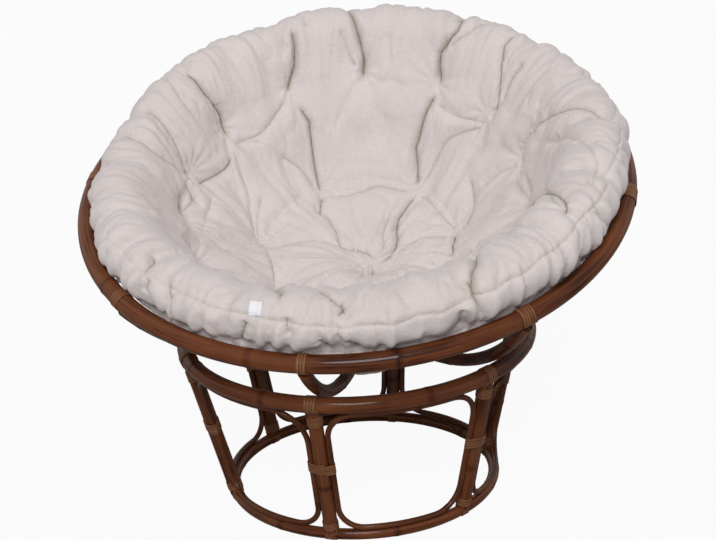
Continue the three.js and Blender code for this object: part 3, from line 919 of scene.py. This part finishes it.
# The filling swells the cover between the tufts, and the spare cloth lies in wrinkles. The back, the
# tufts and a strip along the rim are held still.
swell_pressure = 4.0
swell_limit = 0.022
spare_cloth = 0.02
sim_frames = 20
tuft_hold = (0.03, -0.015)
rim_hold = (0.02, -0.01)
off_tuft = away_from([on_cover(*tuft) - cover_normal(*tuft) * tuft_pull for tuft in tufts], places)
held = np.where(is_cover(places), ramp(off_tuft, *tuft_hold), 1)
held = np.maximum(held, ramp(np.abs(places[:, 2] + rim_drop), *rim_hold))
group = cushion.vertex_groups.new(name="held")
for index, weight in enumerate(held):
    if weight > 0:
        group.add([index], float(weight), "REPLACE")
cloth = cushion.modifiers.new("cover_cloth", "CLOTH")
cloth.settings.quality = 4
cloth.settings.mass = 0.2
cloth.settings.tension_stiffness = 25
cloth.settings.compression_stiffness = 25
cloth.settings.shear_stiffness = 8
cloth.settings.bending_stiffness = 0.4
cloth.settings.shrink_min = -spare_cloth
cloth.settings.use_pressure = True
cloth.settings.uniform_pressure_force = swell_pressure
cloth.settings.vertex_group_mass = "held"
cloth.settings.effector_weights.gravity = 0
cloth.point_cache.frame_end = sim_frames
for number in range(1, sim_frames + 1):
    bpy.context.scene.frame_set(number)
moved = finished(cushion) - places
bpy.context.scene.frame_set(1)
cushion.vertex_groups.clear()
far = np.linalg.norm(moved, axis=1, keepdims=True)
places += moved * np.minimum(1, swell_limit / np.maximum(far, 1e-9))
write_places(cushion.data, places)

# The cover at the chair's back is stuffed fuller and sat flatter than at the front, so its panels run
# nearly straight from the edge to the inner tufts. On the right the roll is tucked in behind the rim.
back_sharpness = 1.5
back_fill = 0.018
back_calm = 0.6
fill_way = 0.41
fill_reach = 0.085
fill_fall = (0.72, -0.06)
tuck_depth = 0.01
tuck_turn = math.radians(92)
tuck_spread = math.radians(38)
tuck_rise = (0.5, 0.1)
tuck_fall = (0.745, -0.03)
cover_ways, cover_turned = way_and_turn(places)
on_top = is_cover(places)
smooth_normals = cover_normal(cover_turned, cover_ways)
swell = np.sum((places - on_cover(cover_turned, cover_ways)) * smooth_normals, axis=1)
at_back = (0.5 - 0.5 * np.cos(cover_turned)) ** back_sharpness * ramp(cover_ways, *fill_fall)
fill = back_fill * np.exp(-(((cover_ways - fill_way) / fill_reach) ** 2))
places += smooth_normals * (on_top * at_back * (fill - back_calm * swell))[:, None]
tuck = tuck_depth * np.exp(-(((cover_turned - tuck_turn) / tuck_spread) ** 2))
tuck *= on_top * ramp(cover_ways, *tuck_rise) * ramp(cover_ways, *tuck_fall)
places -= np.stack([np.sin(cover_turned), -np.cos(cover_turned), np.zeros(len(places))], -1) * tuck[:, None]
write_places(cushion.data, places)

# Folds of the spare cloth: depth and width in millimetres, then the fold's course over the cover, as turns
# in degrees from the front and ways in millimetres from the middle
mm = 0.001
folds = (
    (16, 7, ((-123, 600), (-124, 520), (-127, 460), (-125, 405))),
    (16, 6, ((-155, 575), (-155, 535), (-154, 495), (-150, 445))),
    (14, 6, ((-152, 425), (-155, 380), (-154, 340), (-152, 260), (-151, 225))),
    (12, 6, ((-151, 225), (-146, 195), (-140, 165))),
    (7, 8, ((-125, 400), (-131, 388), (-135, 375))),
    (9, 9, ((-125, 400), (-137, 395), (-150, 440))),
    (8, 9, ((-124, 400), (-120, 340), (-115, 285), (-98, 210))),
    (12, 8, ((-122, 385), (-116, 370), (-103, 385))),
    (9, 8, ((-139, 335), (-146, 290), (-150, 240))),
    (10, 9, ((-108, 630), (-106, 500), (-104, 425), (-103, 385))),
    (10, 9, ((-100, 665), (-96, 540), (-100, 435), (-97, 385), (-95, 340))),
    (7, 7, ((-159, 615), (-159, 570))),
    (7, 7, ((-153, 605), (-152, 545), (-154, 525))),
    (8, 9, ((-168, 555), (-170, 510), (-173, 470))),
    (5, 8, ((-120, 640), (-117, 565), (-120, 535))),
    (18, 6, ((-170, 655), (-171, 600), (-173, 540), (-175, 490), (-175, 440))),
    (18, 6, ((160, 665), (160, 625), (159, 560), (162, 510), (160, 460), (159, 440))),
    (16, 7, ((159, 440), (161, 410), (163, 350), (164, 315), (158, 230))),
    (14, 8, ((157, 225), (156, 180), (152, 120), (120, 60), (104, 20))),
    (9, 8, ((154, 625), (155, 565), (160, 520))),
    (12, 8, ((144, 620), (144, 560), (142, 530), (137, 450), (137, 410))),
    (11, 7, ((135, 550), (136, 510), (135, 460))),
    (9, 8, ((137, 405), (147, 365), (152, 330), (155, 260), (157, 230))),
    (6, 9, ((-176, 435), (176, 450), (170, 440))),
    (8, 9, ((160, 415), (149, 400), (137, 410))),
    (9, 5, ((-152, 220), (-167, 205), (177, 222), (158, 220))),
    (10, 9, ((117, 460), (119, 420), (118, 395), (110, 360))),
    (8, 9, ((116, 380), (122, 340), (125, 290))),
    (6, 8, ((129, 640), (120, 640), (112, 640))),
    (11, 9, ((100, 670), (98, 600), (113, 490), (120, 420))),
    (8, 9, ((107, 460), (88, 550), (72, 615), (70, 655))),
    (9, 9, ((92, 375), (80, 470), (62, 560), (60, 615))),
    (14, 7, ((8, 25), (97, 15))),
    (20, 10, ((-64, 170), (-50, 240), (-24, 450), (-10, 585), (-11, 640))),
    (15, 6, ((-3, 535), (3, 595), (4, 625), (3, 655))),
    (14, 6, ((-15, 665), (-16, 715), (-16, 740))),
    (12, 9, ((-47, 585), (-45, 605), (-44, 650))),
    (11, 7, ((-41, 650), (-41, 690))),
    (11, 8, ((-37, 630), (-34, 670), (-32, 735))),
    (12, 6, ((5, 695), (8, 740))),
    (10, 6, ((0, 695), (2, 738))),
    (10, 6, ((-7, 650), (-6, 695))),
    (9, 8, ((-95, 200), (-78, 180), (-60, 185))),
    (8, 9, ((-98, 205), (-108, 150), (-123, 90), (-150, 40), (104, 18))),
    (10, 8, ((-146, 185), (-143, 110), (-137, 50), (104, 18))),
    (9, 8, ((166, 150), (160, 90), (130, 35))),
    (8, 9, ((-94, 410), (-87, 375), (-83, 345))),
    (7, 9, ((-104, 350), (-92, 335), (-84, 340))),
    (7, 9, ((-122, 275), (-98, 210))),
    (5, 12, ((-82, 340), (-88, 270), (-97, 212))),
    (14, 7, ((91, 175), (100, 180), (114, 195))),
    (9, 8, ((80, 175), (88, 195), (87, 225))),
    (9, 9, ((104, 22), (112, 70), (120, 120), (114, 195))),
    (10, 9, ((116, 200), (119, 240), (126, 270), (133, 295))),
    (9, 8, ((156, 225), (136, 200), (117, 200))),
    (14, 8, ((92, 360), (89, 400), (72, 505), (60, 600), (59, 630))),
    (18, 8, ((72, 230), (50, 390), (33, 590), (31, 670), (34, 730))),
    (8, 7, ((64, 645), (70, 715))),
    (10, 7, ((28, 680), (29, 738))),
    (10, 9, ((62, 715), (63, 738))),
    (8, 10, ((87, 225), (91, 245), (91, 280), (87, 330))),
)
fold_step = 0.035
fold_curtain = 0.05
fold_widths = 4
sharp_share = 0.5
sharp_widths = 0.5
soft_widths = 1.8
fold_end_share = 0.12
fold_end_least = 0.25
crease_width = 0.0022
crease_depth = 0.013
fold_detail = 0.0035
link_depth = 0.005
link_width = 0.007


def fold_pull(places, course, depth, width):
    """How far a fold draws the cover in, sharply along its line, and how dark the painted shade in its
    crease is.
    """
    stations = smooth_line(course, fold_step)
    line = on_cover(stations[:, 0], stations[:, 1])
    outs = cover_normal(stations[:, 0], stations[:, 1])
    lengths = np.concatenate([[0], np.cumsum(np.linalg.norm(np.diff(line, axis=0), axis=1))])
    reach = fold_widths * width
    low, high = line.min(axis=0) - fold_curtain, line.max(axis=0) + fold_curtain
    close = np.flatnonzero(np.all((places > low) & (places < high), axis=1) & is_cover(places))
    near = np.full(len(close), reach)
    where = np.zeros(len(close))
    for start, end, out, begun, ended in zip(line, line[1:], outs, lengths, lengths[1:]):
        onward = end - start - out * np.dot(end - start, out)
        span = np.linalg.norm(onward) + 1e-9
        offset = places[close] - start
        up = offset @ out
        offset -= np.outer(up, out)
        share = np.clip(offset @ onward / span**2, 0, 1)
        away = np.linalg.norm(offset - np.outer(share, onward), axis=1)
        nearer = (away < near) & (np.abs(up) < fold_curtain)
        near[nearer] = away[nearer]
        where[nearer] = (begun + (ended - begun) * share)[nearer] / lengths[-1]
    sharp = sharp_share * np.exp(-near / (sharp_widths * width))
    soft = (1 - sharp_share) * np.exp(-((near / (soft_widths * width)) ** 2))
    taper = np.clip(np.minimum(where, 1 - where) / fold_end_share, fold_end_least, 1)
    pulled = np.zeros((len(places), 2))
    pulled[close, 0] = np.where(near < reach, depth * (sharp + soft) * taper, 0)
    # The second column is the painted shade of the crease line
    pulled[close, 1] = np.exp(-near / crease_width) * min(1, depth / crease_depth) * taper
    return pulled


tuft_links = [(inner_tufts[i], inner_tufts[i - 1]) for i in range(len(inner_tufts))]
tuft_links += [(middle_tuft, tuft) for tuft in inner_tufts]
tuft_links += [(inner_tufts[i // 2], outer_tufts[i]) for i in range(len(outer_tufts))]


def all_folds(places):
    """The folds from above, and shallow ones that join each tuft to its neighbours."""
    deepest = np.zeros((len(places), 2))
    for depth, width, course in folds:
        turns = np.unwrap([math.radians(degrees) for degrees, _ in course])
        ways = [way * mm for _, way in course]
        deepest = np.maximum(deepest, fold_pull(places, list(zip(turns, ways)), depth * mm, width * mm))
    for (first_turn, first_way), (second_turn, second_way) in tuft_links:
        turns = np.unwrap([first_turn, second_turn])
        course = [(turns[0], first_way), (turns[1], second_way)]
        deepest = np.maximum(deepest, fold_pull(places, course, link_depth, link_width))
    return deepest


# The cover's mesh is made finer along the folds, and then all over
near_fold = (all_folds(places)[:, 0] > fold_detail) & is_cover(places)
bm = bmesh.new()
bm.from_mesh(cushion.data)
along_folds = [edge for edge in bm.edges if all(near_fold[vert.index] for vert in edge.verts)]
bmesh.ops.subdivide_edges(bm, edges=along_folds, cuts=1, use_grid_fill=True)
bm.to_mesh(cushion.data)
bm.free()
finer = cushion.modifiers.new("finer", "SUBSURF")
finer.levels = 1
finer.render_levels = 1
places = finished(cushion)
fold_depth, crease_shade = all_folds(places).T

# Fine wrinkles run out from every tuft
wrinkle_height = 0.0022
wrinkle_reach = 0.05
wrinkle_start = 0.012
wrinkle_rays = (7, 8, 9, 11)
wrinkle_bend = 1.5
dice = random.Random(7)
cover_ways, cover_turned = way_and_turn(places)
on_top = is_cover(places)
raised = np.zeros(len(places))
for tuft in tufts:
    place, out = on_cover(*tuft), cover_normal(*tuft)
    offset = places - place
    away = np.linalg.norm(offset, axis=1)
    close = np.flatnonzero((away < 3 * wrinkle_reach) & on_top)
    side = np.cross(out, (0.0, 0.0, 1.0) if abs(out[2]) < 0.9 else (1.0, 0.0, 0.0))
    side /= np.linalg.norm(side)
    angle = np.arctan2(offset[close] @ np.cross(out, side), offset[close] @ side)
    rays = dice.choice(wrinkle_rays)
    phase = dice.uniform(0, 2 * math.pi)
    wave = np.sin(rays * angle + phase + wrinkle_bend * np.sin(2 * angle + phase))
    fade = np.exp(-away[close] / wrinkle_reach) * (1 - np.exp(-((away[close] / wrinkle_start) ** 2)))
    raised[close] += wrinkle_height * wave * fade

# The cover is rumpled, most of all on its roll, where narrow valleys run down in patches. Below the seam
# that joins the cover to its band, the edge is gathered. The seam is drawn in most at the front right.
broad_height = 0.006
rumple_height = 0.0055
rumple_drift = 0.05
valley_width = 0.14
roll_rise = (0.434, 0.1)
seat_fall = (0.474, -0.1)
seat_rumple = 0.35
gather_height = 0.0055
gather_count = 74
seam_way = 0.657
band_rise = (seam_way, 0.02)
seam_depth = 0.005
seam_width = 0.0035
seam_sway = 0.012
seam_stray = 0.008
seam_turn = math.radians(35)
seam_least = 0.2


def rumples(turns, ways, around, along, seed):
    """Noise over the cover, which meets itself round the cushion."""
    spots = np.stack([around * np.sin(turns), around * np.cos(turns), ways * along + seed], -1)
    return np.array([noise.noise(spot) for spot in spots])


broad = rumples(cover_turned, cover_ways, around=9, along=9, seed=3)
bent_turn = cover_turned + rumple_drift * broad
radial = rumples(bent_turn, cover_ways, around=17, along=8, seed=11)
fine = rumples(bent_turn, cover_ways, around=36, along=15, seed=17)
in_patches = np.clip(rumples(cover_turned, cover_ways, around=6.3, along=6.3, seed=29) * 3 + 0.6, 0, 1)
radial = 0.5 * radial - np.exp(-np.abs(radial) / valley_width) * in_patches + 0.6 * fine
roll_share = ramp(cover_ways, *roll_rise) * on_top
seat_share = ramp(cover_ways, *seat_fall) * on_top
band_share = ramp(cover_ways, *band_rise) * on_top
raised += radial * rumple_height * (roll_share + seat_rumple * seat_share)
raised += broad * broad_height * on_top
gathers = np.sin(gather_count * cover_turned + 3 * broad + 2 * np.sin(5 * cover_turned))
raised += gather_height * gathers * band_share * (0.6 + 0.8 * broad)
seam_line = seam_way + seam_sway * np.sin(3 * cover_turned + 0.6) + seam_stray * broad
seam = np.exp(-np.abs(cover_ways - seam_line) / seam_width) * on_top
seam *= np.clip(0.5 + np.cos(cover_turned - seam_turn), seam_least, 1)
raised -= seam_depth * seam

# The threads of the tufts pull dimples into the back too, and its cloth lies in slack wrinkles that run
# to the rim. All of them lie inwards, clear of the ribs.
dimple_depth = 0.011
dimple_reach = 0.026
slack_depth = 0.007
pleat_count = 62
pleat_depth = 0.005
pleat_sway = 4
pleat_rise = (0.45, 0.5)
below_rim = (-rim_drop - 0.012, -0.03)
outwards = places / np.linalg.norm(places, axis=1, keepdims=True)
polar = np.arccos(-outwards[:, 2])
slack = rumples(bent_turn, polar, around=7, along=6, seed=41)
wrinkled = rumples(bent_turn, polar, around=17, along=5, seed=53)
sunk = slack_depth * np.clip(0.5 + slack + 0.5 * wrinkled, 0, 1)
pleats = 0.5 + 0.5 * np.sin(pleat_count * cover_turned + pleat_sway * broad)
sunk += pleat_depth * ramp(polar, *pleat_rise) * pleats
for tuft in tufts:
    tuft_out = on_cover(*tuft) / np.linalg.norm(on_cover(*tuft))
    tuft_away = cover_arc * np.arccos(np.clip(outwards @ tuft_out, -1, 1))
    sunk += dimple_depth * np.exp(-tuft_away / dimple_reach)
raised -= np.where(on_top, 0, sunk * ramp(places[:, 2], *below_rim))

normals = np.empty(len(places) * 3)
cushion.data.vertices.foreach_get("normal", normals)
smooth_normals = cover_normal(cover_turned, cover_ways)
places += normals.reshape(-1, 3) * raised[:, None] - smooth_normals * (fold_depth * on_top)[:, None]

# The cover keeps clear of the rim that it leans on
cover_clear = 0.0022
rim_clear = rim_pole_radius + cover_clear
across = np.hypot(places[:, 0], places[:, 1])
from_rim = np.stack([across - rim_radius, places[:, 2] + rim_drop], -1)
rim_away = np.linalg.norm(from_rim, axis=1)
pressed = (rim_away < rim_clear) & (places[:, 2] > -rim_drop - rim_pole_radius)
pushed = from_rim[pressed] * (rim_clear / rim_away[pressed])[:, None]
places[pressed, :2] *= ((rim_radius + pushed[:, 0]) / across[pressed])[:, None]
places[pressed, 2] = pushed[:, 1] - rim_drop
places = places @ level_to_bowl[:3, :3].T + level_to_bowl[:3, 3]
write_places(cushion.data, places)

# The folds' depth, their crease lines and the seam are kept on the mesh, where the cotton's finish paints
# shade into them
deepest_fold = 0.015
for name, values in (("fold_shade", fold_depth / deepest_fold), ("crease_shade", crease_shade), ("seam", seam)):
    layer = cushion.data.attributes.new(name, "FLOAT", "POINT")
    layer.data.foreach_set("value", np.clip(values, -1, 1).astype(np.float32))
cushion.data.polygons.foreach_set("use_smooth", np.ones(len(cushion.data.polygons), dtype=bool))

ecru = (0.66, 0.6, 0.59)
ecru_shade = (0.575, 0.515, 0.5)
# Painted shade: the colours that the cloth is darkened to in its folds, along the seam and in the crease
# lines
fold_and_seam_shade = (0.43, 0.38, 0.32)
crease_shade_colour = (0.12, 0.1, 0.075)
thread_pitch = 0.0016
thread_run = 14
patch_stretch = (9, 9, 9)
slub_stretch = (170, 170, 170)
weave_height = 0.0011


def cotton_finish():
    finish = Finish("ecru_cotton", Specular_IOR_Level=0.2, Sheen_Weight=0.25, Sheen_Roughness=0.5)
    coords = finish.node("TexCoord").out("Object")
    fold_shade, crease_shade, seam = (finish.attribute(name).out("Fac") for name in ("fold_shade", "crease_shade", "seam"))
    across, along = 1 / thread_pitch, 1 / thread_pitch / thread_run
    ways = ((across, along, along), (along, across, along), (along, along, across))
    warp, weft, pile = (finish.noise(coords, stretch, detail=2) for stretch in ways)
    weave = warp * 0.4 + weft * 0.4 + pile * 0.4
    patches = finish.noise(coords, patch_stretch)
    slubs = finish.noise(coords, slub_stretch, detail=2)
    colour = finish.blend((patches * 0.5 + weave * 0.4 + slubs * 0.5).step(0.45, 1.1), ecru_shade, ecru)
    # Painted shade along the folds, where the cloth is drawn in
    colour = finish.blend(fold_shade.step(0.2, 1.1) * 0.85, colour, fold_and_seam_shade)
    # Darker painted shade in the thin crease lines
    colour = finish.blend(crease_shade.step(0.3, 1.0) * 0.85, colour, crease_shade_colour)
    # Painted shade along the seam, where the cover is drawn in
    colour = finish.blend(seam.step(0.4, 1.0) * 0.6, colour, fold_and_seam_shade)
    relief = finish.bump(weave * 0.6 + slubs, weave_height, strength=0.7)
    return finish.wear(Base_Color=colour, Roughness=weave * 0.1 + 0.85, Normal=relief)


cushion.data.materials.clear()
cushion.data.materials.append(cotton_finish())
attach(cushion, "cushion")
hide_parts("cushion")

# Tag: a small bare piece of white woven tape, sewn by its upper edge to the outside of the cushion's
# roll. Its lower edge hangs loose and curls outwards a little.
tag_turn = math.radians(-13.6)
tag_way = 0.642
tag_size = 0.026
tag_cuts = 12
tag_thickness = 0.0006
tag_stand = 0.001
tag_curl = 0.004
tag_drop = 0.05
tag_white = (0.83, 0.82, 0.86)
tag_shade = 0.92
tag_thread_stretch = (1200, 1200, 300)
tag_thread_height = 0.0003

cushion_shape = BVHTree.FromObject(cushion, bpy.context.evaluated_depsgraph_get())
tag_place = to_bowl @ Vector(on_cover(tag_turn, tag_way))
tag_out = (to_bowl.to_3x3() @ Vector(cover_normal(tag_turn, tag_way))).normalized()
tag_side = tag_out.cross(Vector((0, 0, 1))).normalized() * -1
tag_up = tag_out.cross(tag_side).normalized() * -1
bm = bmesh.new()
bmesh.ops.create_grid(bm, x_segments=tag_cuts, y_segments=tag_cuts, size=tag_size / 2)
for vert in bm.verts:
    lifted = tag_curl * max(0, -vert.co.y / (tag_size / 2)) ** 2
    start = tag_place + tag_side * vert.co.x + tag_up * vert.co.y + tag_out * tag_drop
    hit = cushion_shape.ray_cast(start, -tag_out)[0]
    vert.co = hit + tag_out * (tag_stand + lifted)
tag_finish = Finish("white_tape", Roughness=0.8, Specular_IOR_Level=0.3)
tag_coords = tag_finish.node("TexCoord").out("Object")
tag_weave = tag_finish.noise(tag_coords, tag_thread_stretch, detail=2)
tag_relief = tag_finish.bump(tag_weave, tag_thread_height, strength=0.5)
tag_colour = tag_finish.blend(tag_weave, tuple(c * tag_shade for c in tag_white), tag_white)
tag_material = tag_finish.wear(Base_Color=tag_colour, Normal=tag_relief)
tag = add_piece(bm, "blank_tag", tag_material, "cushion", "tag_cloth", "care_tag")
thick = tag.modifiers.new("thickness", "SOLIDIFY")
thick.thickness = tag_thickness
thick.offset = 1
